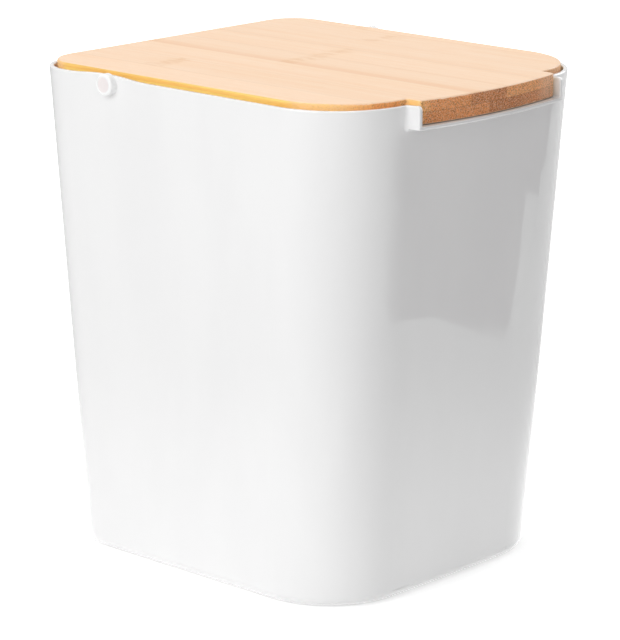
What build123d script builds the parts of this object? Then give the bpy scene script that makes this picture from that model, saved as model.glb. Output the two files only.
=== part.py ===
from build123d import *
from dataclasses import dataclass, replace
import math
import os

# Bathroom bin with a tipping bamboo lid, in millimetres.
# +Z is up, the front with the lid's tab faces -Y, and left is -X.
# The origin is on the ground, at the middle of the whole outline seen from above.

# Bin body, measured outside
BODY_HEIGHT = 255.3
RIM_WIDTH = 196.7
RIM_DEPTH = 219.3
RIM_FRONT_CORNER = 45.5
RIM_REAR_CORNER = 23.0
BASE_WIDTH = 175.7
BASE_DEPTH = 187.8
BASE_FRONT_CORNER = 45.0
BASE_REAR_CORNER = 20.6
BASE_SETBACK = 16.6
FRONT_RADIUS = 1613.0
WALL = 2.4
FLOOR = 2.8
BASE_ROUND = 4.9
CAVITY_ROUND = 4.0
RIM_ROUND = 0.7

# Low rise of the rim over each pivot
RISE_HEIGHT = 1.5
RISE_LENGTH = 60.0
RISE_BEHIND_PIVOT = 2.75

# Climb of the rim toward the front, one arc that starts this far behind it
CLIMB_HEIGHT = 0.6
CLIMB_LENGTH = 22.0

# Notch at the front and the collar round it
NOTCH_WIDTH = 105.4
COLLAR_WALL = 2.2
SHELF = 1.8
LIP_REACH = 11.35
LIP_SAG = 4.5
COLLAR_TOP_ROUND = 2.0
COLLAR_EDGE_ROUND = 0.8
COLLAR_FOOT_ROUND = 2.0

# Bamboo lid
PLY = 6.0
LID_PROUD = 3.1
LID_GAP = 1.35
LID_SIDE_GAP = 1.9
LID_CORNER_CUT = 1.0
LID_TOP_ROUND = 1.0
LID_UNDER_ROUND = 0.8
TAB_SIDE_GAP = 1.4
TAB_UNDER_GAP = 0.35
TAB_REACH = 9.35
TAB_SAG = 5.5
TAB_CORNER = 1.5
STAVE_WIDTH = 26.0
FIRST_STAVES = {"lower": 10.0, "upper": 23.0}

# Pivot of the lid
PIVOT_FROM_REAR = 57.9
PIVOT_DROP = 0.3
OPEN_ANGLE = 100.0
PIN_RADIUS = 2.5
PIN_IN_LID = 16.0
HEAD_RADIUS = 5.6
HEAD_PROUD = 4.2
HEAD_BEVEL = 0.8
DISH_RADIUS = 4.3
DISH_DEPTH = 0.25
SEAT_FIT = 0.05
RUNNING_FIT = 0.08
SLEEVE_WALL = 1.0
SPACER_RADIUS = 3.6
SPACER_PLAY = 0.2

# Ribs that stop the open lid
STOP_START = 14.0
STOP_LENGTH = 30.0
STOP_THICKNESS = 3.0
STOP_REACH = 7.0
STOP_CLEARANCE = 0.3

# Pads under the base
PAD_RADIUS = 7.0
PAD_THICKNESS = 1.6
PAD_PROUD = 0.8
PAD_SEAT_GAP = 0.1
PAD_INSET = 26.0
PAD_EDGE = 0.4

# Places worked out from the sizes
BASE_Z = PAD_PROUD
RIM_Z = BASE_Z + BODY_HEIGHT
BLANK_HEIGHT = BODY_HEIGHT + 2 * RISE_HEIGHT
REAR_Y = (RIM_DEPTH + LIP_REACH) / 2
FRONT_Y = REAR_Y - RIM_DEPTH
LIP_Y = FRONT_Y - LIP_REACH
CLIMB_Y = FRONT_Y + CLIMB_LENGTH
LID_THICKNESS = PLY * len(FIRST_STAVES)
LID_TOP = RIM_Z + LID_PROUD
LID_BOTTOM = LID_TOP - LID_THICKNESS
LID_MIDDLE = (LID_TOP + LID_BOTTOM) / 2
NOTCH_Z = LID_BOTTOM - TAB_UNDER_GAP
LID_INSET = WALL + LID_GAP
LID_HALF_WIDTH = RIM_WIDTH / 2 - WALL - LID_SIDE_GAP
PIVOT_Y = REAR_Y - PIVOT_FROM_REAR
PIVOT_Z = LID_MIDDLE - PIVOT_DROP
SLEEVE_BORE = PIN_RADIUS + RUNNING_FIT
SLEEVE_RADIUS = SLEEVE_BORE + SLEEVE_WALL
SIDES = {"left": -1, "right": 1}

# Two places nearer than this count as one when an edge is looked up
SAME_PLACE = 0.05


@dataclass(frozen=True)
class Plan:
    """Outline seen from above: straight sides and back, rounded corners, a slightly bowed front."""

    half_width: float
    rear: float
    front: float
    front_corner: float
    rear_corner: float


def plan_at(height):
    """Outer plan of the body at a height above its underside."""
    share = height / BODY_HEIGHT

    def between(base, rim):
        return base + (rim - base) * share

    return Plan(
        half_width=between(BASE_WIDTH, RIM_WIDTH) / 2,
        rear=between(FRONT_Y + BASE_SETBACK + BASE_DEPTH, REAR_Y),
        front=between(FRONT_Y + BASE_SETBACK, FRONT_Y),
        front_corner=between(BASE_FRONT_CORNER, RIM_FRONT_CORNER),
        rear_corner=between(BASE_REAR_CORNER, RIM_REAR_CORNER),
    )


def plan_edges(plan, inset, z):
    """Outline of a plan drawn in by an inset: a bow at the front, three lines and four corner arcs."""
    corner_x = plan.half_width - plan.front_corner
    bow_y = plan.front + FRONT_RADIUS
    centres_apart = FRONT_RADIUS - plan.front_corner
    corner_y = bow_y - math.sqrt(centres_apart**2 - corner_x**2)
    lean = math.asin(corner_x / centres_apart)
    front_arc = plan.front_corner - inset
    rear_arc = plan.rear_corner - inset
    rear_x = plan.half_width - plan.rear_corner
    rear_y = plan.rear - plan.rear_corner

    def on_front_corner(angle):
        return corner_x + front_arc * math.sin(angle), corner_y - front_arc * math.cos(angle)

    half = [
        on_front_corner(lean),
        on_front_corner((lean + math.pi / 2) / 2),
        (plan.half_width - inset, corner_y),
        (plan.half_width - inset, rear_y),
        (rear_x + rear_arc * math.sqrt(0.5), rear_y + rear_arc * math.sqrt(0.5)),
        (rear_x, plan.rear - inset),
    ]
    right = [(x, y, z) for x, y in half]
    left = [(-x, y, z) for x, y in half]
    apex = (0, plan.front + inset, z)
    return [
        Edge.make_three_point_arc(left[0], apex, right[0]),
        Edge.make_three_point_arc(right[0], right[1], right[2]),
        Edge.make_line(right[2], right[3]),
        Edge.make_three_point_arc(right[3], right[4], right[5]),
        Edge.make_line(right[5], left[5]),
        Edge.make_three_point_arc(left[5], left[4], left[3]),
        Edge.make_line(left[3], left[2]),
        Edge.make_three_point_arc(left[2], left[1], left[0]),
    ]


def tapered(low, high, inset):
    """Solid between two heights above the underside, with the body's draft and flat sides and back."""
    outlines = [plan_edges(plan_at(height), inset, BASE_Z + height) for height in (low, high)]
    faces = [Face(Wire(outline)) for outline in outlines]
    for under, over in zip(*outlines):
        if under.geom_type == GeomType.LINE:
            ends = [under.position_at(0), under.position_at(1), over.position_at(1), over.position_at(0)]
            faces.append(Face(Wire.make_polygon(ends)))
        else:
            faces.append(Face.make_surface_from_curves(under, over))
    return Solid(Shell(faces))


def block(x_range, y_range, z_range):
    """Box between two corners."""
    lows, highs = zip(x_range, y_range, z_range)
    size = [high - low for low, high in zip(lows, highs)]
    return Solid.make_box(*size, Plane(origin=lows))


def rod(radius, x_start, x_end):
    """Cylinder on the pivot axis between two places across the bin."""
    origin = (min(x_start, x_end), PIVOT_Y, PIVOT_Z)
    return Solid.make_cylinder(radius, abs(x_end - x_start), Plane(origin=origin, z_dir=(1, 0, 0)))


def side_profile(pieces, half_length):
    """Solid across the bin from a closed outline in YZ: lines of two points and arcs of three."""
    edges = []
    for piece in pieces:
        places = [(-half_length, y, z) for y, z in piece]
        make = Edge.make_three_point_arc if len(places) == 3 else Edge.make_line
        edges.append(make(*places))
    return Solid.extrude(Face(Wire(edges)), Vector(2 * half_length, 0, 0))


def rim_at_front(y):
    """Place in YZ on the arc that the rim line climbs toward the front."""
    radius = (CLIMB_LENGTH**2 + CLIMB_HEIGHT**2) / (2 * CLIMB_HEIGHT)
    return y, RIM_Z + radius - math.sqrt(radius**2 - (CLIMB_Y - y) ** 2)


def above_rim():
    """Space over the rim line, whose rise near the pivot is three tangent arcs."""
    quarter = RISE_LENGTH / 4
    half_rise = RISE_HEIGHT / 2
    radius = (quarter**2 + half_rise**2) / RISE_HEIGHT
    foot_middle = radius - math.sqrt(radius**2 - (quarter / 2) ** 2)
    front, rear = LIP_Y - WALL, REAR_Y + WALL
    top = BASE_Z + BLANK_HEIGHT + RISE_HEIGHT

    def at(quarters, rise):
        return PIVOT_Y + RISE_BEHIND_PIVOT + quarters * quarter, RIM_Z + rise

    outline = [
        [rim_at_front(front), rim_at_front((front + CLIMB_Y) / 2), rim_at_front(CLIMB_Y)],
        [rim_at_front(CLIMB_Y), at(-2, 0)],
        [at(-2, 0), at(-1.5, foot_middle), at(-1, half_rise)],
        [at(-1, half_rise), at(0, RISE_HEIGHT), at(1, half_rise)],
        [at(1, half_rise), at(1.5, foot_middle), at(2, 0)],
        [at(2, 0), (rear, RIM_Z)],
        [(rear, RIM_Z), (rear, top)],
        [(rear, top), (front, top)],
        [(front, top), rim_at_front(front)],
    ]
    return side_profile(outline, RIM_WIDTH)


def bowed_slab(half_width, back_y, apex_y, sag, low, high):
    """Slab with straight sides and a bowed front edge that drops back by sag at its ends."""
    ends = [(side * half_width, apex_y + sag) for side in (-1, 1)]
    backs = [(side * half_width, back_y) for side in (-1, 1)]
    wire = Wire(
        [
            Edge.make_three_point_arc((*ends[0], low), (0, apex_y, low), (*ends[1], low)),
            Edge.make_line((*ends[1], low), (*backs[1], low)),
            Edge.make_line((*backs[1], low), (*backs[0], low)),
            Edge.make_line((*backs[0], low), (*ends[0], low)),
        ]
    )
    return Solid.extrude(Face(wire), Vector(0, 0, high - low))


def edges_near(solid, x, y_below, z):
    """Edges whose middle is x from the centre plane on either side, in front of y_below and at height z."""
    middles = [(edge, edge.position_at(0.5)) for edge in solid.edges()]
    return [
        edge
        for edge, middle in middles
        if abs(abs(middle.X) - x) < SAME_PLACE and middle.Y < y_below and abs(middle.Z - z) < SAME_PLACE
    ]


def shared_edges(whole, one, other, below):
    """Edges of a joined solid that lie on the skins of both of its parts, under a height."""
    middles = [(edge, edge.position_at(0.5)) for edge in whole.edges()]
    return [
        edge
        for edge, middle in middles
        if middle.Z < below and all(part.distance_to(middle) < SAME_PLACE for part in (one, other))
    ]


def outside_with_collar():
    """Body without its hollow, joined to the block that the tray round the notch is cut from."""
    outside = tapered(0, BLANK_HEIGHT, 0)
    outside = outside.fillet(BASE_ROUND, outside.faces().sort_by(Axis.Z)[0].edges())
    half_width = NOTCH_WIDTH / 2 + COLLAR_WALL
    under = NOTCH_Z - SHELF
    top = BASE_Z + BLANK_HEIGHT - RISE_HEIGHT / 2
    slab = bowed_slab(half_width, FRONT_Y + LIP_REACH, LIP_Y, LIP_SAG, under, top)
    slab = slab.fillet(COLLAR_EDGE_ROUND, edges_near(slab, half_width, REAR_Y, under))
    joined = outside + slab
    return joined.fillet(COLLAR_FOOT_ROUND, shared_edges(joined, outside, slab, top - SAME_PLACE))


def rim_edges(body):
    """Edges along both sides of the rim's top faces."""
    tops = [face for face in body.faces() if face.center().Z > RIM_Z - SAME_PLACE]
    edges = [edge for face in tops for edge in face.edges()]
    return [edge for edge in edges if sum(edge.is_same(other) for other in edges) == 1]


def notch_space():
    """Space that the lid's tab lies in, from inside the bin out past the collar's lip."""
    half = NOTCH_WIDTH / 2
    return block((-half, half), (LIP_Y - WALL, FRONT_Y + LIP_REACH), (NOTCH_Z, RIM_Z + LID_PROUD))


def stop_rib(side):
    """Rib inside a side wall whose rear face meets the underside of the open lid's back part."""
    angle = math.radians(OPEN_ANGLE)
    along = (math.cos(angle), -math.sin(angle))
    away = (-math.sin(angle), -math.cos(angle))
    face = PIVOT_Z - LID_BOTTOM + STOP_CLEARANCE

    def at(run, depth):
        y = PIVOT_Y + run * along[0] + depth * away[0]
        return y, PIVOT_Z + run * along[1] + depth * away[1]

    end = STOP_START + STOP_LENGTH
    front = face + STOP_THICKNESS
    corners = [at(STOP_START, face), at(end, face), at(end, front), at(STOP_START, front)]
    bar = side_profile(zip(corners, corners[1:] + corners[:1]), RIM_WIDTH)
    inner_end = RIM_WIDTH / 2 - WALL - STOP_REACH
    reach = sorted((side * inner_end, side * RIM_WIDTH))
    return bar & block(reach, (FRONT_Y, REAR_Y), (BASE_Z, RIM_Z)) & tapered(0, BODY_HEIGHT, WALL / 2)


def pad_places():
    """Centre of each pad under the base, by name."""
    base = plan_at(0)
    across = base.half_width - PAD_INSET
    rows = {"front": base.front + PAD_INSET, "rear": base.rear - PAD_INSET}
    return {
        f"{row}_{side}": (sign * across, y) for row, y in rows.items() for side, sign in SIDES.items()
    }


def disc(radius, place, low, high):
    """Upright cylinder at a place in plan."""
    return Solid.make_cylinder(radius, high - low, Plane(origin=(*place, low)))


def bin_body():
    """White shell with its rim, notch, collar, pivot holes, stop ribs and pad seats."""
    cavity = tapered(FLOOR, BLANK_HEIGHT + RISE_HEIGHT, WALL)
    cavity = cavity.fillet(CAVITY_ROUND, cavity.faces().sort_by(Axis.Z)[0].edges())
    body = outside_with_collar() - cavity - notch_space() - above_rim()
    for side in SIDES.values():
        body = body + stop_rib(side)
    for side in SIDES.values():
        body = body - rod(PIN_RADIUS + SEAT_FIT, side * LID_HALF_WIDTH, side * RIM_WIDTH)
    for place in pad_places().values():
        body = body - disc(PAD_RADIUS + PAD_SEAT_GAP, place, 0, PAD_THICKNESS)
    collar_middle = (NOTCH_WIDTH + COLLAR_WALL) / 2
    collar_top = rim_at_front(LIP_Y + LIP_SAG)[1]
    body = body.fillet(COLLAR_TOP_ROUND, edges_near(body, collar_middle, FRONT_Y, collar_top))
    return body.fillet(RIM_ROUND, rim_edges(body))


def whole_lid():
    """Bamboo board in one piece: the panel inside the rim and the tab that lies in the notch."""
    plan = replace(
        plan_at(BODY_HEIGHT),
        half_width=LID_HALF_WIDTH + LID_INSET,
        front_corner=RIM_FRONT_CORNER - LID_CORNER_CUT,
    )
    outline = Wire(plan_edges(plan, LID_INSET, LID_BOTTOM))
    panel = Solid.extrude(Face(outline), Vector(0, 0, LID_THICKNESS))
    tab_half = NOTCH_WIDTH / 2 - TAB_SIDE_GAP
    tab_back = FRONT_Y + LID_INSET + TAB_REACH
    tab = bowed_slab(tab_half, tab_back, FRONT_Y - TAB_REACH, TAB_SAG, LID_BOTTOM, LID_TOP)
    lid = panel + tab
    lid = lid.fillet(TAB_CORNER, edges_near(lid, tab_half, tab_back, LID_MIDDLE))
    lid = lid.fillet(LID_TOP_ROUND, lid.faces().sort_by(Axis.Z)[-1].edges())
    lid = lid.fillet(LID_UNDER_ROUND, lid.faces().sort_by(Axis.Z)[0].edges())
    for side in SIDES.values():
        lid = lid - rod(SLEEVE_RADIUS, side * (LID_HALF_WIDTH - PIN_IN_LID), side * RIM_WIDTH)
    return lid


def stave_joints(first):
    """Places across the lid of one ply's joints, edge to edge."""
    joints = [-LID_HALF_WIDTH]
    place = first - LID_HALF_WIDTH
    while place < LID_HALF_WIDTH:
        joints.append(place)
        place += STAVE_WIDTH
    return joints + [LID_HALF_WIDTH]


def staves():
    """Lid cut at its glue lines, by name, counted from the left."""
    lid = whole_lid()
    pieces = {}
    for layer, (ply, first) in enumerate(FIRST_STAVES.items()):
        low = LID_BOTTOM + layer * PLY
        joints = stave_joints(first)
        for number, span in enumerate(zip(joints, joints[1:]), 1):
            cell = block(span, (LIP_Y, REAR_Y), (low, low + PLY))
            pieces[f"{ply}_stave_{number}"] = lid & cell
    return pieces


def hinge_pin(side):
    """Round head outside the wall and the shank that carries the lid."""
    wall_x = RIM_WIDTH / 2
    head = rod(HEAD_RADIUS, side * (wall_x - HEAD_RADIUS), side * (wall_x + HEAD_PROUD))
    outer_face = head.faces().sort_by(Axis.X)[-1 if side > 0 else 0]
    head = head.chamfer(HEAD_BEVEL, None, outer_face.edges())
    head = head - rod(DISH_RADIUS, side * (wall_x + HEAD_PROUD - DISH_DEPTH), side * RIM_WIDTH)
    head = head - tapered(0, BLANK_HEIGHT + HEAD_RADIUS, 0)
    shank = rod(PIN_RADIUS, side * (LID_HALF_WIDTH - PIN_IN_LID), side * (wall_x + HEAD_PROUD / 2))
    return head + shank


def hinge_sleeve(side):
    """Bearing tube set in the edge of the lid."""
    ends = side * (LID_HALF_WIDTH - PIN_IN_LID), side * LID_HALF_WIDTH
    return rod(SLEEVE_RADIUS, *ends) - rod(SLEEVE_BORE, *ends)


def spacer(side):
    """Ring on the pin that keeps the lid off the wall, its outer face on the sloping wall."""
    ends = side * (LID_HALF_WIDTH + SPACER_PLAY), side * RIM_WIDTH
    ring = rod(SPACER_RADIUS, *ends) - rod(PIN_RADIUS + SEAT_FIT, *ends)
    return ring & tapered(0, BLANK_HEIGHT + SPACER_RADIUS, WALL)


def foot_pad(place):
    """Rubber disc set in its seat under the base."""
    pad = disc(PAD_RADIUS, place, 0, PAD_THICKNESS)
    return pad.fillet(PAD_EDGE, pad.faces().sort_by(Axis.Z)[0].edges())


def all_pieces():
    """Every piece of the bin, by the name of its file."""
    pieces = {"bin_body": bin_body()}
    pieces.update(staves())
    for name, side in SIDES.items():
        pieces[f"hinge_pin_{name}"] = hinge_pin(side)
        pieces[f"hinge_sleeve_{name}"] = hinge_sleeve(side)
        pieces[f"spacer_{name}"] = spacer(side)
    for name, place in pad_places().items():
        pieces[f"foot_pad_{name}"] = foot_pad(place)
    return pieces


os.makedirs("parts", exist_ok=True)
for piece_name, piece in all_pieces().items():
    export_step(piece, f"parts/{piece_name}.step")
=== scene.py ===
import logging
import math
from dataclasses import dataclass
from enum import Enum
from typing import Any, Iterable, Sequence

import bpy
from mathutils import Matrix, Vector

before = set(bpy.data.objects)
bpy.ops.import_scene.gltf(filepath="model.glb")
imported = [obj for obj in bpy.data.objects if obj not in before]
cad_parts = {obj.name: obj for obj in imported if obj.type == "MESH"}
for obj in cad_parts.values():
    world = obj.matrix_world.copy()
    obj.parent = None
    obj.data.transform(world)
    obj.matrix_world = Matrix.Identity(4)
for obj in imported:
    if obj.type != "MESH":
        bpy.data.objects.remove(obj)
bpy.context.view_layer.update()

LOG = logging.getLogger("bathroom_bin")

Triple = tuple[float, float, float]
Colour = Triple
Socket = bpy.types.NodeSocket
Stops = Sequence[tuple[float, Triple]]
# Start and end of a range, and the results at both where they are not 0 and 1
Range = tuple[float, ...]

IMAGE_WIDTH = 620
IMAGE_HEIGHT = 640
MM = 0.001
EVEN: Triple = (1.0, 1.0, 1.0)
WHITE: Colour = (1.0, 1.0, 1.0)

# Places of the colour sockets of a Mix node
MIX_FIRST = 6
MIX_SECOND = 7
MIX_RESULT = 2


class Ply(Enum):
    """The two layers of staves that the lid is glued up from."""

    UPPER = "upper"
    LOWER = "lower"


@dataclass(frozen=True)
class Noise:
    """One layer of noise, drawn out along each axis whose factor is less than one.

    The scale is in features per metre, as a number or a socket. The detail is the number of finer
    layers, and the roughness is their weight.
    """

    scale: Any
    detail: float = 2.0
    roughness: float = 0.5
    drawn: Triple = EVEN


@dataclass(frozen=True)
class Relief:
    """Strength and depth of a bump."""

    strength: float
    depth: float


class Graph:
    """Adds nodes to one tree and joins them."""

    def __init__(self, tree: bpy.types.NodeTree) -> None:
        """Keeps the tree that the nodes go into.

        Args:
            tree: Node tree of a material, a world or a group.
        """
        self.tree = tree

    def node(
        self, kind: str, inputs: dict[Any, Any] | None = None, **settings: Any
    ) -> bpy.types.Node:
        """Adds one node.

        Args:
            kind: Node type without its "ShaderNode" prefix.
            inputs: Socket to join, or value to set, by the name or place of the input.
            **settings: Properties of the node itself.

        Returns:
            The new node.
        """
        new = self.tree.nodes.new(f"ShaderNode{kind}")
        for name, value in settings.items():
            setattr(new, name, value)
        for name, value in (inputs or {}).items():
            self.feed(new.inputs[name], value)
        return new

    def feed(self, target: Socket, value: Any) -> None:
        """Joins a socket to an input, or sets the input's own value.

        Args:
            target: Input socket.
            value: Output socket, number, colour or vector.
        """
        if isinstance(value, bpy.types.NodeSocket):
            self.tree.links.new(value, target)
        elif isinstance(value, tuple) and target.type == "RGBA" and len(value) == 3:
            target.default_value = (*value, 1.0)
        else:
            target.default_value = value

    def maths(self, operation: str, *values: Any) -> Socket:
        """Result of one sum of numbers."""
        return self.node("Math", dict(enumerate(values)), operation=operation).outputs[0]

    def vectors(self, operation: str, *values: Any) -> Socket:
        """Result of one sum of vectors."""
        new = self.node("VectorMath", dict(enumerate(values)), operation=operation)
        return new.outputs["Vector"]

    def length(self, vector: Socket) -> Socket:
        """Length of a vector."""
        return self.node("VectorMath", {0: vector}, operation="LENGTH").outputs["Value"]

    def parts(self, vector: Socket) -> tuple[Socket, Socket, Socket]:
        """X, Y and Z of a vector."""
        split = self.node("SeparateXYZ", {"Vector": vector})
        return split.outputs[0], split.outputs[1], split.outputs[2]

    def noise(self, vector: Socket, layer: Noise) -> Socket:
        """Smooth noise between 0 and 1.

        Args:
            vector: Place, in metres.
            layer: Layer of noise.

        Returns:
            Output socket.
        """
        if layer.drawn != EVEN:
            vector = self.vectors("MULTIPLY", vector, layer.drawn)
        inputs = {"Vector": vector, "Scale": layer.scale}
        inputs |= {"Detail": layer.detail, "Roughness": layer.roughness}
        return self.node("TexNoise", inputs).outputs[0]

    def line(
        self, value: Any, start: Any, end: Any, low: Any = 0.0, high: Any = 1.0, **settings: Any
    ) -> Socket:
        """Value carried in a straight line from one range to another and held at the ends.

        Args:
            value: Value to carry.
            start: Value that gives low.
            end: Value that gives high.
            low: Result at start.
            high: Result at end.
            **settings: Properties of the node itself.

        Returns:
            Output socket.
        """
        inputs = {"Value": value, "From Min": start, "From Max": end, "To Min": low, "To Max": high}
        return self.node("MapRange", inputs, **settings).outputs[0]

    def ramped(
        self, value: Any, start: Any, end: Any, low: Any = 0.0, high: Any = 1.0
    ) -> Socket:
        """Value carried as in line, but smoothly."""
        return self.line(value, start, end, low, high, interpolation_type="SMOOTHSTEP")

    def mixed(self, factor: Any, first: Any, second: Any) -> Socket:
        """Mix of two colours.

        Args:
            factor: Share of the second colour.
            first: Colour or socket.
            second: Colour or socket.

        Returns:
            Output socket.
        """
        inputs = {0: factor, MIX_FIRST: first, MIX_SECOND: second}
        return self.node("Mix", inputs, data_type="RGBA").outputs[MIX_RESULT]

    def tinged(self, colour: Any, second: Any, mask: Socket, share: Any) -> Socket:
        """Colour mixed with a second one, by a share of a mask."""
        return self.mixed(self.maths("MULTIPLY", mask, share), colour, second)

    def added(self, value: Any, mask: Socket, share: float) -> Socket:
        """Value with a share of a mask added to it."""
        return self.maths("ADD", value, self.maths("MULTIPLY", mask, share))

    def darkened(self, colour: Any, factor: Any) -> Socket:
        """Colour multiplied by a number."""
        inputs = {0: colour, "Scale": factor}
        return self.node("VectorMath", inputs, operation="SCALE").outputs[0]

    def steps(self, value: Socket, stops: Stops) -> tuple[Socket, Socket, Socket]:
        """Three numbers that hold from each stop to the next.

        Args:
            value: Value between 0 and 1.
            stops: Place and three numbers between 0 and 1 of each stop, in order.

        Returns:
            Output sockets of the three numbers.
        """
        new = self.node("ValToRGB", {"Fac": value})
        ramp = new.color_ramp
        ramp.interpolation = "CONSTANT"
        while len(ramp.elements) < len(stops):
            ramp.elements.new(1.0)
        for element, (place, numbers) in zip(ramp.elements, stops):
            element.position = place
            element.color = (*numbers, 1.0)
        split = self.node("SeparateColor", {"Color": new.outputs["Color"]})
        return split.outputs[0], split.outputs[1], split.outputs[2]

    def use(self, group: bpy.types.NodeTree, inputs: dict[str, Any]) -> Any:
        """Places a node group.

        Args:
            group: Group to place.
            inputs: Sockets or values by input name.

        Returns:
            The outputs of the group's node.
        """
        return self.node("Group", inputs, node_tree=group).outputs

    def coat(
        self,
        colour: Socket,
        roughness: Socket,
        height: Socket,
        relief: Relief,
        settings: dict[str, float] | None = None,
    ) -> None:
        """Adds a material's own shader with its bump, and joins it to the output.

        Args:
            colour: Base colour.
            roughness: Roughness.
            height: Height that the bump follows.
            relief: Strength and depth of the bump.
            settings: Constant values of the shader, by the name of the input.
        """
        depth = {"Strength": relief.strength, "Distance": relief.depth}
        bump = self.node("Bump", {**depth, "Height": height})
        inputs = {"Base Color": colour, "Roughness": roughness, "Normal": bump.outputs[0]}
        shader = self.node("BsdfPrincipled", {**inputs, **(settings or {})})
        self.surface(shader)

    def surface(self, shader: bpy.types.Node) -> None:
        """Joins a shader to the output of its material."""
        self.node("OutputMaterial", {"Surface": shader.outputs[0]})


class Group:
    """A node group with named inputs and outputs, built once and shared by several materials."""

    def __init__(self, name: str, inputs: dict[str, str], outputs: Iterable[str]) -> None:
        """Makes the group with its sockets.

        Args:
            name: Name of the group.
            inputs: Kind of each input, "Float" or "Vector", by its name.
            outputs: Names of the outputs, which are all numbers.
        """
        self.tree = bpy.data.node_groups.new(name, "ShaderNodeTree")
        for socket, kind in inputs.items():
            self.tree.interface.new_socket(
                socket, in_out="INPUT", socket_type=f"NodeSocket{kind}"
            )
        for socket in outputs:
            self.tree.interface.new_socket(
                socket, in_out="OUTPUT", socket_type="NodeSocketFloat"
            )
        self.graph = Graph(self.tree)
        self.given = self.tree.nodes.new("NodeGroupInput").outputs
        self.result = self.tree.nodes.new("NodeGroupOutput").inputs

    def give(self, results: dict[str, Any]) -> bpy.types.NodeTree:
        """Joins each result to the output of its name.

        Args:
            results: Sockets by output name.

        Returns:
            The group's tree.
        """
        for name, value in results.items():
            self.graph.feed(self.result[name], value)
        return self.tree


@dataclass(frozen=True)
class BambooFigure:
    """The grain of one stave, running front to back."""

    streak: Noise = Noise(190.0, 3.0, 0.55, (1.0, 0.02, 1.0))
    fibre: Noise = Noise(1100.0, 3.0, 0.6, (1.0, 0.03, 1.0))
    dash: Noise = Noise(1000.0, 2.0, 0.55, (1.0, 0.11, 1.0))
    dash_range: Range = (0.57, 0.70)
    side_line: Noise = Noise(620.0, 2.0, 0.5, (0.15, 0.012, 1.0))
    bundle_drawn: Triple = (1.0, 0.05, 1.0)
    bundle_scale: float = 1350.0
    bundle_scatter: float = 0.85
    bundle_range: Range = (0.50, 0.20)
    pale: Noise = Noise(1800.0, 1.0, 0.5, (1.0, 0.05, 1.0))
    pale_range: Range = (0.46, 0.66)
    knuckle_wander: Noise = Noise(160.0)
    wander_range: Range = (0.25, 0.75, -4.0 * MM, 4.0 * MM)
    knuckle_band: Range = (8.5 * MM, 0.5 * MM)
    knuckle_patch: Noise = Noise(260.0, 2.0, 0.5, (1.0, 0.25, 1.0))
    patch_range: Range = (0.30, 0.60)
    seed_shift: tuple[float, float] = (3.1, 7.7)
    fibre_height: float = 0.6
    dash_depth: float = 0.5

    def build(self) -> bpy.types.NodeTree:
        """Builds the group.

        Returns:
            Group with streaks, fibres, dashes, side lines, the bundles at the ends and a knuckle.
        """
        names = ("Streak", "Fibre", "Dash", "Side Line", "Bundle", "Pale", "Knuckle", "Height")
        inputs = {"Place": "Vector", "Seed": "Float", "Knuckle Y": "Float"}
        group = Group("bamboo_figure", inputs, names)
        g = group.graph
        place, seed = group.given["Place"], group.given["Seed"]
        shift_x, shift_y = (g.maths("MULTIPLY", seed, factor) for factor in self.seed_shift)
        shift = g.node("CombineXYZ", {"X": shift_x, "Y": shift_y})
        own = g.vectors("ADD", place, shift.outputs[0])
        fibre = g.noise(own, self.fibre)
        dash = g.ramped(g.noise(own, self.dash), *self.dash_range)
        cells = g.node(
            "TexVoronoi",
            {
                "Vector": g.vectors("MULTIPLY", own, self.bundle_drawn),
                "Scale": self.bundle_scale,
                "Randomness": self.bundle_scatter,
            },
            feature="F1",
        )
        wander = g.line(g.noise(own, self.knuckle_wander), *self.wander_range)
        from_knuckle = g.maths(
            "SUBTRACT", g.maths("ADD", g.parts(place)[1], wander), group.given["Knuckle Y"]
        )
        band = g.ramped(g.maths("ABSOLUTE", from_knuckle), *self.knuckle_band)
        patchy = g.ramped(g.noise(own, self.knuckle_patch), *self.patch_range)
        raised = g.maths("MULTIPLY", fibre, self.fibre_height)
        return group.give(
            {
                "Streak": g.noise(own, self.streak),
                "Fibre": fibre,
                "Dash": dash,
                "Side Line": g.noise(own, self.side_line),
                "Bundle": g.ramped(cells.outputs["Distance"], *self.bundle_range),
                "Pale": g.ramped(g.noise(own, self.pale), *self.pale_range),
                "Knuckle": g.maths("MULTIPLY", band, patchy),
                "Height": g.added(raised, dash, -self.dash_depth),
            }
        )


@dataclass(frozen=True)
class MouldedSkin:
    """The skin of a plastic moulding."""

    flow: Noise = Noise(24.0, 3.0, 0.5, (1.0, 1.0, 0.35))
    ripple_detail: float = 1.0

    def build(self) -> bpy.types.NodeTree:
        """Builds the group.

        Returns:
            Group with slow flow marks and the height of a fine ripple.
        """
        inputs = {"Place": "Vector", "Ripples": "Float"}
        group = Group("moulded_skin", inputs, ("Flow", "Ripple"))
        g, place = group.graph, group.given["Place"]
        ripple = Noise(group.given["Ripples"], self.ripple_detail)
        return group.give({"Flow": g.noise(place, self.flow), "Ripple": g.noise(place, ripple)})


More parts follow.
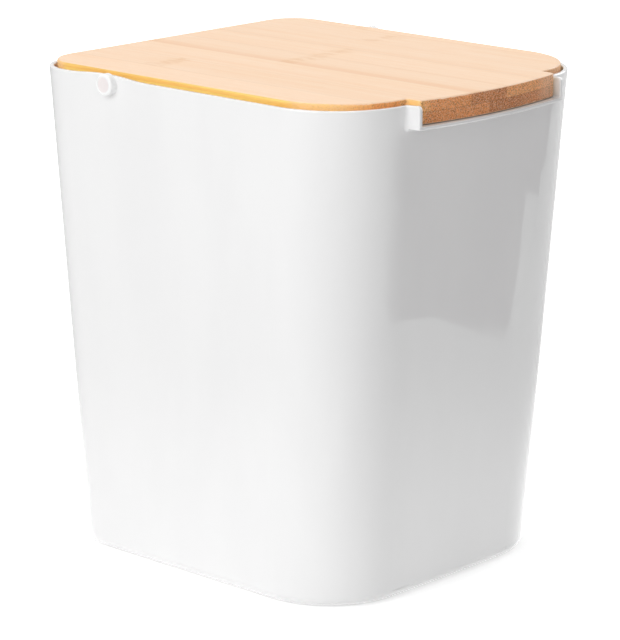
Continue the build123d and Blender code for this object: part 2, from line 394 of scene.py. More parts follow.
@dataclass(frozen=True)
class HandlingWear:
    """The fine scratches and smudges that handling leaves."""

    axis: Triple = (0.35, 0.5, 0.79)
    turns: tuple[float, ...] = (0.6, -0.9)
    stretches: tuple[float, ...] = (0.05, 0.07)
    scratch_scale: float = 900.0
    scratch_detail: float = 1.0
    scratch_range: Range = (0.70, 0.80)
    smudge: Noise = Noise(45.0, 3.0, 0.6)
    smudge_range: Range = (0.52, 0.78)

    def build(self) -> bpy.types.NodeTree:
        """Builds the group.

        Returns:
            Group with a mask of scratches and a mask of smudges.
        """
        inputs = {"Place": "Vector", "Amount": "Float"}
        group = Group("handling_wear", inputs, ("Scratch", "Smudge"))
        g, place, amount = group.graph, group.given["Place"], group.given["Amount"]
        lines = []
        for turn, stretch in zip(self.turns, self.stretches):
            turned = {"Vector": place, "Axis": self.axis, "Angle": turn}
            tilt = g.node("VectorRotate", turned).outputs[0]
            drawn = (1.0, stretch, 1.0)
            layer = Noise(self.scratch_scale, self.scratch_detail, drawn=drawn)
            lines.append(g.ramped(g.noise(tilt, layer), *self.scratch_range))
        smudge = g.ramped(g.noise(place, self.smudge), *self.smudge_range)
        return group.give(
            {
                "Scratch": g.maths("MULTIPLY", g.maths("MAXIMUM", *lines), amount),
                "Smudge": g.maths("MULTIPLY", smudge, amount),
            }
        )


class Effects:
    """Node groups that more than one material uses."""

    def __init__(self) -> None:
        """Builds each group once."""
        self.figure = BambooFigure().build()
        self.skin = MouldedSkin().build()
        self.wear = HandlingWear().build()


def new_material(name: str) -> tuple[bpy.types.Material, Graph]:
    """Makes a material with an empty tree.

    Args:
        name: Name of the material.

    Returns:
        The material and its graph.
    """
    material = bpy.data.materials.new(name)
    material.use_nodes = True
    material.node_tree.nodes.clear()
    return material, Graph(material.node_tree)


@dataclass
class Spot:
    """Sockets that say which place of a stave is being coloured."""

    x: Socket
    y: Socket
    z: Socket
    from_middle: Socket
    on_tab: Socket
    facing: tuple[Socket, Socket, Socket]
    stave: dict[str, Socket]
    figure: Any
    fibre: Socket


@dataclass(frozen=True)
class Bamboo:
    """Lacquered bamboo of one ply: pale on its face, yellow at its sides and brown at its ends.

    Each stave has the place of its knuckle along the lid and three numbers between 0 and 1: its
    tone on the face, its tone at the end grain, and how much its left edge is shaded.
    """

    ply: Ply
    joints: tuple[float, ...]
    tones: tuple[Triple, ...]
    knuckles: tuple[float, ...]
    glue_height: float
    reach: float = 120.0 * MM
    seed_steps: int = 11
    seed_stride: int = 7
    seed_start: int = 3
    wear: float = 0.5

    # Face
    face: Colour = (0.96, 0.70, 0.495)
    face_streak: Colour = (0.92, 0.60, 0.36)
    face_shaded: Colour = (0.88, 0.54, 0.31)
    knuckle: Colour = (0.78, 0.44, 0.19)
    streak_range: Range = (0.40, 0.72)
    streak_share: float = 0.50
    fibre_range: Range = (0.3, 0.7)
    fibre_share: float = 0.24
    dash_share: float = 0.24
    shade_range: Range = (15.0 * MM, 0.0)
    shade_broken: Range = (0.3, 0.6, 0.45, 1.0)
    knuckle_share: float = 0.44
    tone_range: Range = (0.0, 1.0, 0.90, 1.04)

    # Sides, which are darker where their edge is rounded
    side: Colour = (1.0, 0.71, 0.205)
    side_line: Colour = (0.95, 0.55, 0.14)
    line_range: Range = (0.38, 0.62)
    side_tab_share: float = 0.80
    side_fibre_share: float = 0.12
    round_range: Range = (0.05, 0.55, 1.0, 0.80)

    # End grain, coarse on the tab and finer beside it, with painted light at both tab ends:
    # a golden painted highlight on its left edge, and pale painted bounce light, stronger at the
    # right
    end_dark: Colour = (0.53, 0.178, 0.052)
    end: Colour = (0.84, 0.315, 0.097)
    # Pale end grain; also the colour of the painted bounce light and highlight at the tab's ends
    end_pale_and_painted_light: Colour = (1.0, 0.57, 0.205)
    # Pale specks of the end grain; also the colour of the painted bounce light at the tab's right
    # end
    end_speck_and_painted_bounce: Colour = (0.93, 0.60, 0.40)
    end_middle_tone: float = 0.5
    tab_range: Range = (54.0 * MM, 58.0 * MM, 1.0, 0.0)
    # Painted bounce light from the white arms, paling both ends of the tab
    tab_ends_painted_bounce: Range = (46.0 * MM, 54.0 * MM, 0.0, 0.45)
    # Painted highlight on the tab's rounded left edge, fading out away from its front
    tab_left_painted_highlight: Range = (-47.5 * MM, -51.5 * MM, 0.0, 0.60)
    left_highlight_front: Range = (0.0, -40.0 * MM)
    # More painted bounce light at the tab's right end
    tab_right_painted_bounce: Range = (31.0 * MM, 46.0 * MM, 0.0, 0.50)
    left_round: Range = (-54.0 * MM, -58.0 * MM)
    left_round_tint: Triple = (1.12, 0.94, 0.85)
    end_fibre: Range = (0.30, 0.70, 0.66, 1.20)
    fine_share: float = 0.30
    bundle_dark: float = 0.42
    speck_share: float = 0.60

    # Rounded corners, between side and end, by how far the surface faces forward
    oblique: Colour = (1.0, 0.61, 0.24)
    oblique_dark: float = 0.90
    oblique_speck: float = 0.30
    oblique_range: Range = (0.02, 0.22)
    end_range: Range = (0.42, 0.70)
    least_sideways: float = 0.001

    # Where the face gives way to the side and to the end, by how far the surface faces up
    side_starts: Range = (0.82, 0.50)
    end_starts: Range = (0.62, 0.28)

    # Glue lines
    glue_line: float = 0.11 * MM
    glue_fade: float = 2.2
    joint_dark: float = 0.93
    ply_dark: float = 0.78

    # Lacquer
    rough_range: Range = (0.3, 0.7, 0.36, 0.50)
    end_rough: float = 0.16
    smudge_gloss: float = 0.08
    relief: Relief = Relief(0.35, 0.12 * MM)
    ior: float = 1.45
    specular: float = 0.4

    def stave_numbers(self, g: Graph, x: Socket) -> dict[str, Socket]:
        """Numbers of the stave that a place is on.

        Args:
            g: Graph of the material.
            x: Place across the lid.

        Returns:
            Sockets by name, with the distances to the joints on both sides.
        """
        width = 2 * self.reach
        starts = [(start + self.reach) / width for start in (-self.reach, *self.joints)]
        ends = [(end + self.reach) / width for end in (*self.joints, self.reach)]
        across = g.line(x, -self.reach, self.reach)
        face, end, shade = g.steps(across, list(zip(starts, self.tones)))
        seeds = [
            ((self.seed_stride * number + self.seed_start) % self.seed_steps) / self.seed_steps
            for number in range(len(starts))
        ]
        places = [(knuckle + self.reach) / width for knuckle in self.knuckles]
        numbers = list(zip(starts, zip(seeds, places, starts)))
        seed, knuckle, begin = g.steps(across, numbers)
        tails = [(start, (0.0, 0.0, tail)) for start, tail in zip(starts, ends)]
        finish = g.steps(across, tails)[2]
        return {
            "face": face,
            "end": end,
            "shade": shade,
            "seed": seed,
            "knuckle": g.line(knuckle, 0.0, 1.0, -self.reach, self.reach),
            "from_left": g.maths("MULTIPLY", g.maths("SUBTRACT", across, begin), width),
            "to_right": g.maths("MULTIPLY", g.maths("SUBTRACT", finish, across), width),
        }

    def spot(self, g: Graph, groups: Effects, place: Socket, normal: Socket) -> Spot:
        """Places the nodes that the colours start from.

        Args:
            g: Graph of the material.
            groups: Shared node groups.
            place: Place on the lid.
            normal: Normal of the surface there.

        Returns:
            The sockets.
        """
        x, y, z = g.parts(place)
        stave = self.stave_numbers(g, x)
        inputs = {"Place": place, "Seed": stave["seed"], "Knuckle Y": stave["knuckle"]}
        figure = g.use(groups.figure, inputs)
        facing = g.parts(g.vectors("ABSOLUTE", normal))
        from_middle = g.maths("ABSOLUTE", x)
        on_tab = g.ramped(from_middle, *self.tab_range)
        fibre = g.line(figure["Fibre"], *self.fibre_range)
        return Spot(x, y, z, from_middle, on_tab, facing, stave, figure, fibre)

    def face_colour(self, g: Graph, spot: Spot) -> Socket:
        """Colour of the top and the underside.

        Args:
            g: Graph of the material.
            spot: Place to colour.

        Returns:
            Output socket.
        """
        figure, stave = spot.figure, spot.stave
        streak = g.ramped(figure["Streak"], *self.streak_range)
        face = g.tinged(self.face, self.face_streak, streak, self.streak_share)
        face = g.tinged(face, self.face_streak, spot.fibre, self.fibre_share)
        face = g.tinged(face, self.face_shaded, figure["Dash"], self.dash_share)
        at_edge = g.ramped(stave["from_left"], *self.shade_range)
        shade = g.maths("MULTIPLY", at_edge, stave["shade"])
        face = g.tinged(
            face, self.face_shaded, shade, g.line(figure["Streak"], *self.shade_broken)
        )
        face = g.tinged(face, self.knuckle, figure["Knuckle"], self.knuckle_share)
        return g.darkened(face, g.line(stave["face"], *self.tone_range))

    def side_colour(self, g: Graph, spot: Spot) -> Socket:
        """Colour of the left and right sides.

        Args:
            g: Graph of the material.
            spot: Place to colour.

        Returns:
            Output socket.
        """
        lines = g.ramped(spot.figure["Side Line"], *self.line_range)
        side = g.mixed(lines, self.side, self.side_line)
        side = g.tinged(side, self.oblique, spot.on_tab, self.side_tab_share)
        side = g.tinged(side, self.end, spot.fibre, self.side_fibre_share)
        return g.darkened(side, g.line(spot.facing[2], *self.round_range))

    def end_colour(self, g: Graph, spot: Spot) -> Socket:
        """Colour of the front and back ends, with painted bounce light and a painted highlight at
        the tab's ends.

        Args:
            g: Graph of the material.
            spot: Place to colour.

        Returns:
            Output socket.
        """
        tone, middle = spot.stave["end"], self.end_middle_tone
        end = g.mixed(g.line(tone, 0.0, middle), self.end_dark, self.end)
        end = g.mixed(g.line(tone, middle, 1.0), end, self.end_pale_and_painted_light)
        # Painted bounce light from the white arms pales both ends of the tab
        end = g.mixed(g.ramped(spot.from_middle, *self.tab_ends_painted_bounce), end, self.end_pale_and_painted_light)
        # Painted highlight on the tab's rounded left edge, near its front
        at_left = g.maths("MULTIPLY", spot.on_tab, g.ramped(spot.x, *self.tab_left_painted_highlight))
        end = g.tinged(end, self.end_pale_and_painted_light, at_left, g.ramped(spot.y, *self.left_highlight_front))
        # More painted bounce light at the tab's right end
        end = g.mixed(g.ramped(spot.x, *self.tab_right_painted_bounce), end, self.end_speck_and_painted_bounce)
        tinted = g.vectors("MULTIPLY", end, self.left_round_tint)
        end = g.mixed(g.ramped(spot.x, *self.left_round), end, tinted)
        end = g.darkened(end, g.line(spot.figure["Fibre"], *self.end_fibre))
        coarse = g.line(spot.on_tab, 0.0, 1.0, self.fine_share, 1.0)
        bundles = g.maths("MULTIPLY", spot.figure["Bundle"], coarse)
        end = g.darkened(end, g.line(bundles, 0.0, 1.0, 1.0, self.bundle_dark))
        specks = g.maths("MULTIPLY", spot.figure["Pale"], coarse)
        return g.tinged(end, self.end_speck_and_painted_bounce, specks, self.speck_share)

    def oblique_colour(self, g: Graph, spot: Spot) -> Socket:
        """Colour of the rounded corners between side and end.

        Args:
            g: Graph of the material.
            spot: Place to colour.

        Returns:
            Output socket.
        """
        speckle = g.line(spot.figure["Bundle"], 0.0, 1.0, 1.0, self.oblique_dark)
        oblique = g.darkened(self.oblique, speckle)
        return g.tinged(oblique, self.end_speck_and_painted_bounce, spot.figure["Pale"], self.oblique_speck)

    def glue_shade(self, g: Graph, spot: Spot) -> Socket:
        """Factor that darkens the surface at the glue lines.

        Args:
            g: Graph of the material.
            spot: Place to colour.

        Returns:
            Output socket.
        """
        to_ply = g.maths("ABSOLUTE", g.maths("SUBTRACT", spot.z, self.glue_height))
        to_joint = g.maths("MINIMUM", spot.stave["from_left"], spot.stave["to_right"])
        thin, wide = self.glue_line, self.glue_fade * self.glue_line
        at_ply = g.ramped(to_ply, thin, wide, self.ply_dark, 1.0)
        at_joint = g.ramped(to_joint, thin, wide, self.joint_dark, 1.0)
        return g.maths("MULTIPLY", at_ply, at_joint)

    def dress(self, groups: Effects) -> bpy.types.Material:
        """Makes the material.

        Args:
            groups: Shared node groups.

        Returns:
            The material.
        """
        material, g = new_material(f"bamboo_{self.ply.value}_ply")
        source = g.node("TexCoord").outputs
        spot = self.spot(g, groups, source["Object"], source["Normal"])
        wear = g.use(groups.wear, {"Place": source["Object"], "Amount": self.wear})

        facing_x, facing_y, facing_z = spot.facing
        sideways = g.maths("MAXIMUM", g.maths("ADD", facing_x, facing_y), self.least_sideways)
        forward = g.maths("DIVIDE", facing_y, sideways)
        is_oblique = g.ramped(forward, *self.oblique_range)
        edge = g.mixed(is_oblique, self.side_colour(g, spot), self.oblique_colour(g, spot))
        end_share = g.ramped(forward, *self.end_range)
        edge = g.mixed(end_share, edge, self.end_colour(g, spot))
        side_start = g.ramped(facing_z, *self.side_starts)
        end_start = g.ramped(facing_z, *self.end_starts)
        edge_share = g.mixed(end_share, side_start, end_start)
        colour = g.mixed(edge_share, self.face_colour(g, spot), edge)
        colour = g.darkened(colour, self.glue_shade(g, spot))

        roughness = g.line(spot.figure["Fibre"], *self.rough_range)
        cut = g.maths("MULTIPLY", end_share, edge_share)
        roughness = g.added(roughness, cut, self.end_rough)
        roughness = g.added(roughness, wear["Smudge"], -self.smudge_gloss)
        settings = {"IOR": self.ior, "Specular IOR Level": self.specular}
        g.coat(colour, roughness, spot.figure["Height"], self.relief, settings)
        return material


@dataclass(frozen=True)
class GlossyPlastic:
    """Polished white moulding with faint flow marks, fine scratches and a dull foot."""

    name: str
    colour: Colour = (0.843, 0.842, 0.842)
    flow_colour: Colour = (0.824, 0.823, 0.824)
    scuff_colour: Colour = (0.76, 0.76, 0.76)
    flow_range: Range = (0.35, 0.65)
    foot_range: Range = (6.0 * MM, 0.8 * MM)
    foot_flow: Range = (0.3, 0.6, 0.3, 1.0)
    foot_share: float = 0.35
    scratch_share: float = 0.10
    rough_range: Range = (0.3, 0.7, 0.015, 0.035)
    scratch_rough: float = 0.12
    smudge_rough: float = 0.05
    foot_rough: float = 0.30
    ripples: float = 120.0
    relief: Relief = Relief(0.25, 0.010 * MM)
    wear: float = 0.5
    ior: float = 1.6

    def dress(self, groups: Effects) -> bpy.types.Material:
        """Makes the material.

        Args:
            groups: Shared node groups.

        Returns:
            The material.
        """
        material, g = new_material(self.name)
        place = g.node("TexCoord").outputs["Object"]
        skin = g.use(groups.skin, {"Place": place, "Ripples": self.ripples})
        wear = g.use(groups.wear, {"Place": place, "Amount": self.wear})
        flow, scratch = skin["Flow"], wear["Scratch"]
        foot = g.ramped(g.parts(place)[2], *self.foot_range)
        scuffed = g.maths("MULTIPLY", foot, g.ramped(flow, *self.foot_flow))
        colour = g.mixed(g.ramped(flow, *self.flow_range), self.colour, self.flow_colour)
        colour = g.tinged(colour, self.scuff_colour, scuffed, self.foot_share)
        colour = g.tinged(colour, self.scuff_colour, scratch, self.scratch_share)
        roughness = g.line(flow, *self.rough_range)
        roughness = g.added(roughness, scratch, self.scratch_rough)
        roughness = g.added(roughness, wear["Smudge"], self.smudge_rough)
        roughness = g.added(roughness, scuffed, self.foot_rough)
        g.coat(colour, roughness, skin["Ripple"], self.relief, {"IOR": self.ior})
        return material


@dataclass(frozen=True)
class PinPlastic:
    """White pin with a smooth rim and a finely frosted dish in its head, with painted shade and a
    faint pink painted reflection of the lid.
    """

    name: str = "pin_plastic"
    pivot_y: float = 57.425 * MM
    pivot_z: float = 252.9 * MM
    colour: Colour = (0.93, 0.93, 0.93)
    # Colour of the dish: painted shade in the recess and a painted pink reflection of the bamboo
    # lid
    dish_painted_shade_and_reflection: Colour = (0.83, 0.775, 0.77)
    dish_range: Range = (4.3 * MM, 3.44 * MM)
    flow_range: Range = (0.3, 0.7, 1.0, 0.975)
    rough_range: Range = (0.0, 1.0, 0.16, 0.34)
    scratch_rough: float = 0.15
    smudge_rough: float = 0.06
    ripples: float = 1400.0
    relief: Relief = Relief(0.3, 0.03 * MM)
    wear: float = 0.6
    ior: float = 1.49

    def dress(self, groups: Effects) -> bpy.types.Material:
        """Makes the material.

        Args:
            groups: Shared node groups.

        Returns:
            The material.
        """
        material, g = new_material(self.name)
        source = g.node("TexCoord").outputs
        place = source["Object"]
        skin = g.use(groups.skin, {"Place": place, "Ripples": self.ripples})
        wear = g.use(groups.wear, {"Place": place, "Amount": self.wear})
        _, y, z = g.parts(place)
        squares = [
            g.maths("POWER", g.maths("SUBTRACT", value, pivot), 2.0)
            for value, pivot in ((y, self.pivot_y), (z, self.pivot_z))
        ]
        from_axis = g.maths("POWER", g.maths("ADD", *squares), 0.5)
        facing_x = g.maths("ABSOLUTE", g.parts(source["Normal"])[0])
        in_dish = g.maths("MULTIPLY", g.ramped(from_axis, *self.dish_range), facing_x)
        # Painted shade and a painted reflection of the lid grey and pink the dish
        colour = g.mixed(in_dish, self.colour, self.dish_painted_shade_and_reflection)
        colour = g.darkened(colour, g.line(skin["Flow"], *self.flow_range))
        roughness = g.line(in_dish, *self.rough_range)
        roughness = g.added(roughness, wear["Scratch"], self.scratch_rough)
        roughness = g.added(roughness, wear["Smudge"], self.smudge_rough)
        g.coat(colour, roughness, skin["Ripple"], self.relief, {"IOR": self.ior})
        return material


@dataclass(frozen=True)
class DryPlastic:
    """Matt bearing plastic with a fine grain and darker, rubbed spots."""

    name: str
    colour: Colour = (0.80, 0.79, 0.76)
    rubbed: Colour = (0.70, 0.69, 0.66)
    roughness: float = 0.48
    grain_range: Range = (0.35, 0.7)
    scratch_share: float = 0.4
    rough_range: Range = (0.3, 0.7)
    grain_rough: float = 0.12
    smudge_gloss: float = 0.12
    ripples: float = 2600.0
    relief: Relief = Relief(0.4, 0.04 * MM)
    wear: float = 1.0

    def dress(self, groups: Effects) -> bpy.types.Material:
        """Makes the material.

        Args:
            groups: Shared node groups.

        Returns:
            The material.
        """
        material, g = new_material(self.name)
        place = g.node("TexCoord").outputs["Object"]
        skin = g.use(groups.skin, {"Place": place, "Ripples": self.ripples})
        wear = g.use(groups.wear, {"Place": place, "Amount": self.wear})
        ripple, roughest = skin["Ripple"], self.roughness + self.grain_rough
        colour = g.mixed(g.ramped(ripple, *self.grain_range), self.colour, self.rubbed)
        colour = g.tinged(colour, self.rubbed, wear["Scratch"], self.scratch_share)
        roughness = g.line(ripple, *self.rough_range, self.roughness, roughest)
        roughness = g.added(roughness, wear["Smudge"], -self.smudge_gloss)
        g.coat(colour, roughness, ripple, self.relief)
        return material


@dataclass(frozen=True)
class PadRubber:
    """Grey rubber with a pebbled face and a little dust."""

    name: str = "pad_rubber"
    colour: Colour = (0.105, 0.105, 0.11)
    dust: Colour = (0.30, 0.29, 0.28)
    dust_range: Range = (0.3, 0.6)
    dust_share: float = 0.5
    rough_range: Range = (0.0, 0.8, 0.62, 0.82)
    pebbles: float = 1500.0
    relief: Relief = Relief(0.6, 0.08 * MM)
    wear: float = 1.0

    def dress(self, groups: Effects) -> bpy.types.Material:
        """Makes the material.

        Args:
            groups: Shared node groups.

        Returns:
            The material.
        """
        material, g = new_material(self.name)
        place = g.node("TexCoord").outputs["Object"]
        skin = g.use(groups.skin, {"Place": place, "Ripples": self.pebbles})
        wear = g.use(groups.wear, {"Place": place, "Amount": self.wear})
        cells = g.node("TexVoronoi", {"Vector": place, "Scale": self.pebbles}).outputs["Distance"]
        dusty = g.maths("MULTIPLY", wear["Smudge"], g.ramped(skin["Ripple"], *self.dust_range))
        colour = g.tinged(self.colour, self.dust, dusty, self.dust_share)
        g.coat(colour, g.line(cells, *self.rough_range), cells, self.relief)
        return material


def wear_finish(nodes: Iterable[str], material: bpy.types.Material) -> None:
    """Gives CAD nodes their material.

    Args:
        nodes: Names of the nodes.
        material: Material to give them.
    """
    for name in nodes:
        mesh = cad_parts[name].data
        mesh.materials.clear()
        mesh.materials.append(material)
        LOG.info("%s wears %s", name, material.name)


@dataclass
class BinShell:
    """The white body, a single glossy moulding."""

    node: str = "bin_body"
    finish: GlossyPlastic = GlossyPlastic("shell_plastic")

    def build(self, groups: Effects) -> None:
        """Dresses the body."""
        wear_finish([self.node], self.finish.dress(groups))


@dataclass
class BambooLid:
    """The tipping lid, two plies of eight staves. Joints and knuckles are in millimetres."""

    stave_count: int = 8
    glue_height: float = 253.2 * MM
    upper_joints: tuple[float, ...] = (-71.05, -45.05, -19.05, 6.95, 32.95, 58.95, 84.95)
    lower_joints: tuple[float, ...] = (-84.05, -58.05, -32.05, -6.05, 19.95, 45.95, 71.95)
    upper_tones: tuple[Triple, ...] = (
        (0.80, 0.92, 0.05),
        (0.68, 0.66, 0.05),
        (0.74, 0.52, 0.10),
        (0.64, 0.13, 0.75),
        (0.72, 0.60, 0.08),
        (0.68, 0.58, 0.22),
        (0.70, 0.62, 0.10),
        (0.86, 0.60, 0.05),
    )
    lower_tones: tuple[Triple, ...] = (
        (0.60, 0.45, 0.20),
        (0.70, 0.40, 0.05),
        (0.50, 0.36, 0.30),
        (0.66, 0.36, 0.00),
        (0.58, 0.04, 0.20),
        (0.72, 0.12, 0.10),
        (0.52, 0.35, 0.15),
        (0.66, 0.40, 0.10),
    )
    upper_knuckles: tuple[float, ...] = (-112.0, 56.0, 118.0, 9.5, 12.0, 119.0, 22.0, 53.0)
    lower_knuckles: tuple[float, ...] = (30.0, -62.0, 74.0, -20.0, 100.0, 5.0, -80.0, 48.0)

    def ply(self, ply: Ply) -> Bamboo:
        """Finish of one ply.

        Args:
            ply: Which ply.

        Returns:
            The finish.
        """
        if ply is Ply.UPPER:
            joints, tones, knuckles = self.upper_joints, self.upper_tones, self.upper_knuckles
        else:
            joints, tones, knuckles = self.lower_joints, self.lower_tones, self.lower_knuckles
        joints, knuckles = (tuple(value * MM for value in row) for row in (joints, knuckles))
        return Bamboo(ply, joints, tones, knuckles, self.glue_height)

    def build(self, groups: Effects) -> None:
        """Dresses every stave of both plies.

        Args:
            groups: Shared node groups.
        """
        for ply in Ply:
            numbers = range(1, self.stave_count + 1)
            staves = [f"{ply.value}_stave_{number}" for number in numbers]
            wear_finish(staves, self.ply(ply).dress(groups))


@dataclass
class Hinge:
    """The two pins that the lid turns on, with their sleeves and spacers."""

    sides: tuple[str, ...] = ("left", "right")
    pin_finish: PinPlastic = PinPlastic()
    sleeve_finish: DryPlastic = DryPlastic("sleeve_plastic")
    spacer_finish: DryPlastic = DryPlastic(
        "spacer_plastic", (0.84, 0.84, 0.84), (0.76, 0.76, 0.76), 0.40
    )

    def build(self, groups: Effects) -> None:
        """Dresses the pins, sleeves and spacers.

        Args:
            groups: Shared node groups.
        """
        finishes = {
            "hinge_pin": self.pin_finish,
            "hinge_sleeve": self.sleeve_finish,
            "spacer": self.spacer_finish,
        }
        for part, finish in finishes.items():
            wear_finish([f"{part}_{side}" for side in self.sides], finish.dress(groups))


@dataclass
class FootPads:
    """Four rubber pads under the base."""

    places: tuple[str, ...] = ("front_left", "front_right", "rear_left", "rear_right")
    finish: PadRubber = PadRubber()

    def build(self, groups: Effects) -> None:
        """Dresses the pads."""
        wear_finish([f"foot_pad_{place}" for place in self.places], self.finish.dress(groups))


def link(name: str, data: Any) -> bpy.types.Object:
    """Makes an object and puts it into the scene.

    Args:
        name: Name of the object.
        data: Its mesh, lamp or camera.

    Returns:
        The object.
    """
    new = bpy.data.objects.new(name, data)
    bpy.context.scene.collection.objects.link(new)
    return new


@dataclass(frozen=True)
class SoftLamp:
    """A square lamp with a soft edge that faces the bin."""

    name: str
    place: Triple
    size: float
    power: float

    def build(self, target: Vector) -> None:
        """Puts up the lamp.

        Args:
            target: Point that the lamp faces.
        """
        light = bpy.data.lights.new(self.name, "AREA")
        light.shape = "SQUARE"
        light.size = self.size
        light.energy = self.power
        lamp = link(self.name, light)
        lamp.location = self.place
        lamp.rotation_euler = (target - lamp.location).to_track_quat("-Z", "Y").to_euler()
        LOG.info("lamp %s", self.name)


@dataclass(frozen=True)
class PhotoCamera:
    """The camera, at the photograph's angle and distance."""

    azimuth: float = -47.25
    elevation: float = 14.73
    roll: float = 0.05
    aim: Triple = (-1.8348 * MM, 9.1599 * MM, 120.6296 * MM)
    distance: float = 1614.04 * MM
    focal_pixels: float = 3079.16
    sensor: float = 36.0
    far: float = 100.0

    def build(self) -> None:
        """Sets the camera on a line from the aim, turned and tipped as the photograph's was."""
        angles = (self.azimuth, self.elevation, self.roll)
        turn, tip, roll = (math.radians(angle) for angle in angles)
        level, rise = math.cos(tip), math.sin(tip)
        back = Vector((math.sin(turn) * level, -math.cos(turn) * level, rise))
        level_right = Vector((math.cos(turn), math.sin(turn), 0.0))
        level_up = back.cross(level_right)
        right = level_right * math.cos(roll) + level_up * math.sin(roll)
        up = level_up * math.cos(roll) - level_right * math.sin(roll)
        place = Vector(self.aim) + back * self.distance
        lens = bpy.data.cameras.new("camera")
        lens.sensor_width = self.sensor
        lens.lens = self.focal_pixels * self.sensor / max(IMAGE_WIDTH, IMAGE_HEIGHT)
        lens.clip_end = self.far
        camera = link("camera", lens)
        turned = Matrix((right, up, back)).transposed().to_4x4()
        camera.matrix_world = Matrix.Translation(place) @ turned
        bpy.context.scene.camera = camera
        LOG.info("camera %.3f m away", self.distance)


@dataclass(frozen=True)
class WhiteFloor:
    """A white floor that keeps a faint shadow and glows in the bin's reflections near its foot."""

    size: float = 12.0
    colour: Colour = (0.86, 0.86, 0.86)
    tooth: Noise = Noise(900.0, 3.0)
    tooth_range: Range = (0.3, 0.7, 0.99, 1.0)
    seen_glow: Range = (0.4, 1.6, 0.40, 1.0)
    mirrored_glow: Range = (0.08, 0.44, 1.0, 0.05)
    bounced_glow: Range = (0.08, 0.44, 0.16, 0.0)

    def dress(self) -> bpy.types.Material:
        """Makes the floor's paper, which glows by its distance from the bin.

        Returns:
            The material.
        """
        material, g = new_material("floor_paper")
        place = g.node("TexCoord").outputs["Object"]
        tooth = g.line(g.noise(place, self.tooth), *self.tooth_range)
        paper = g.node("BsdfDiffuse", {"Color": g.darkened(self.colour, tooth)})
        path = g.node("LightPath").outputs
        away = g.length(place)
        seen = g.maths("MAXIMUM", path["Is Camera Ray"], path["Is Transmission Ray"])
        direct = g.maths("MULTIPLY", seen, g.ramped(away, *self.seen_glow))
        glow = g.ramped(away, *self.mirrored_glow)
        mirrored = g.maths("MULTIPLY", path["Is Glossy Ray"], glow)
        glow = g.ramped(away, *self.bounced_glow)
        bounced = g.maths("MULTIPLY", path["Is Diffuse Ray"], glow)
        lift = g.maths("ADD", g.maths("ADD", direct, mirrored), bounced)
        lamp = g.node("Emission", {"Color": WHITE, "Strength": lift})
        g.surface(g.node("AddShader", {0: paper.outputs[0], 1: lamp.outputs[0]}))
        return material

    def build(self) -> None:
        """Lays the floor."""
        half = self.size / 2
        mesh = bpy.data.meshes.new("floor")
        corners = [(-half, -half, 0.0), (half, -half, 0.0), (half, half, 0.0), (-half, half, 0.0)]
        mesh.from_pydata(corners, [], [tuple(range(len(corners)))])
        floor = link("floor", mesh)
        mesh.materials.append(self.dress())
        LOG.info("floor laid")


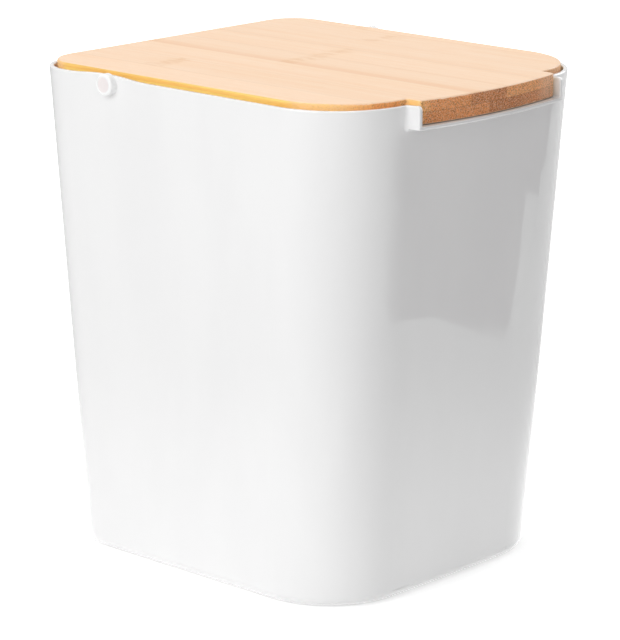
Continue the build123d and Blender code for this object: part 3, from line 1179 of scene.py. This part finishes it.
@dataclass(frozen=True)
class DarkCard:
    """A dark card on the floor that shows only in reflections, as a studio's flag does.

    Its outline is in millimetres. It fades out toward its left end and near the bin.
    """

    height: float = 0.3 * MM
    outline: tuple[tuple[float, float], ...] = (
        (318.0, -293.0),
        (306.0, -289.0),
        (302.0, -312.0),
        (297.0, -332.0),
        (286.0, -365.0),
        (180.0, -400.0),
        (60.0, -480.0),
        (60.0, -1300.0),
        (900.0, -1500.0),
        (1500.0, -1100.0),
        (1350.0, -600.0),
        (918.0, -455.0),
        (763.0, -422.0),
        (633.0, -415.0),
        (583.0, -470.0),
        (446.0, -376.0),
    )
    colour: Colour = (0.10, 0.04, 0.06)
    tooth: Noise = Noise(900.0, 3.0)
    tooth_range: Range = (0.3, 0.7, 0.9, 1.0)
    across_x: float = 0.86
    across_y: float = 0.51
    across_range: Range = (-0.33, 0.05)
    away_range: Range = (0.41, 0.47)

    def dress(self) -> bpy.types.Material:
        """Makes the card's paper.

        Returns:
            The material.
        """
        material, g = new_material("card_paper")
        place = g.node("TexCoord").outputs["Object"]
        tooth = g.line(g.noise(place, self.tooth), *self.tooth_range)
        paper = g.node("BsdfDiffuse", {"Color": g.darkened(self.colour, tooth)})
        x, y, _ = g.parts(place)
        across = g.added(g.maths("MULTIPLY", x, self.across_x), y, self.across_y)
        at_left = g.ramped(across, *self.across_range)
        solid = g.maths("MULTIPLY", at_left, g.ramped(g.length(place), *self.away_range))
        clear = g.node("BsdfTransparent")
        layers = {1: clear.outputs[0], 2: paper.outputs[0]}
        g.surface(g.node("MixShader", {"Fac": solid, **layers}))
        return material

    def build(self) -> None:
        """Lays the card."""
        mesh = bpy.data.meshes.new("dark_card")
        corners = [(x * MM, y * MM, self.height) for x, y in self.outline]
        mesh.from_pydata(corners, [], [tuple(range(len(corners)))])
        card = link("dark_card", mesh)
        mesh.materials.append(self.dress())
        card.visible_camera = card.visible_diffuse = card.visible_shadow = False
        card.visible_transmission = card.visible_volume_scatter = False
        LOG.info("dark card laid")


@dataclass(frozen=True)
class Backdrop:
    """Even light all round: white to the camera, bright in reflections and soft on surfaces."""

    ambient: float = 0.20
    reflected: float = 0.95

    def build(self) -> None:
        """Fills the world with the light."""
        world = bpy.data.worlds.new("studio")
        bpy.context.scene.world = world
        world.use_nodes = True
        world.node_tree.nodes.clear()
        g = Graph(world.node_tree)
        path = g.node("LightPath").outputs
        shiny = g.maths("MAXIMUM", path["Is Glossy Ray"], path["Is Transmission Ray"])
        strength = g.line(shiny, 0.0, 1.0, self.ambient, self.reflected)
        seen = g.line(path["Is Camera Ray"], 0.0, 1.0, strength, 1.0)
        light = g.node("Background", {"Color": WHITE, "Strength": seen})
        g.node("OutputWorld", {"Surface": light.outputs[0]})


@dataclass
class Studio:
    """White floor, dark card, backdrop, soft lamps and the camera."""

    stage: tuple[Any, ...] = (PhotoCamera(), WhiteFloor(), DarkCard(), Backdrop())
    lamp_target: Triple = (0.0, 0.0, 0.15)
    lamps: tuple[SoftLamp, ...] = (
        SoftLamp("left_lamp", (-1.75, 0.15, 1.05), 1.3, 19.3),
        SoftLamp("front_left_lamp", (-1.3, -1.2, 1.1), 1.2, 8.5),
        SoftLamp("top_lamp", (0.1, 0.35, 1.9), 1.4, 13.6),
        SoftLamp("right_lamp", (1.9, -0.2, 0.9), 1.2, 17.0),
    )

    def build(self) -> None:
        """Puts up the whole studio."""
        for piece in self.stage:
            piece.build()
        for lamp in self.lamps:
            lamp.build(Vector(self.lamp_target))
        bpy.context.scene.view_settings.view_transform = "Standard"


def main() -> None:
    """Builds the studio and dresses each sub-assembly in turn."""
    logging.basicConfig(level=logging.INFO, format="%(name)s: %(message)s")
    Studio().build()
    groups = Effects()
    for assembly in (BinShell(), BambooLid(), Hinge(), FootPads()):
        assembly.build(groups)
        LOG.info("%s done", type(assembly).__name__)


if __name__ == "__main__":
    main()
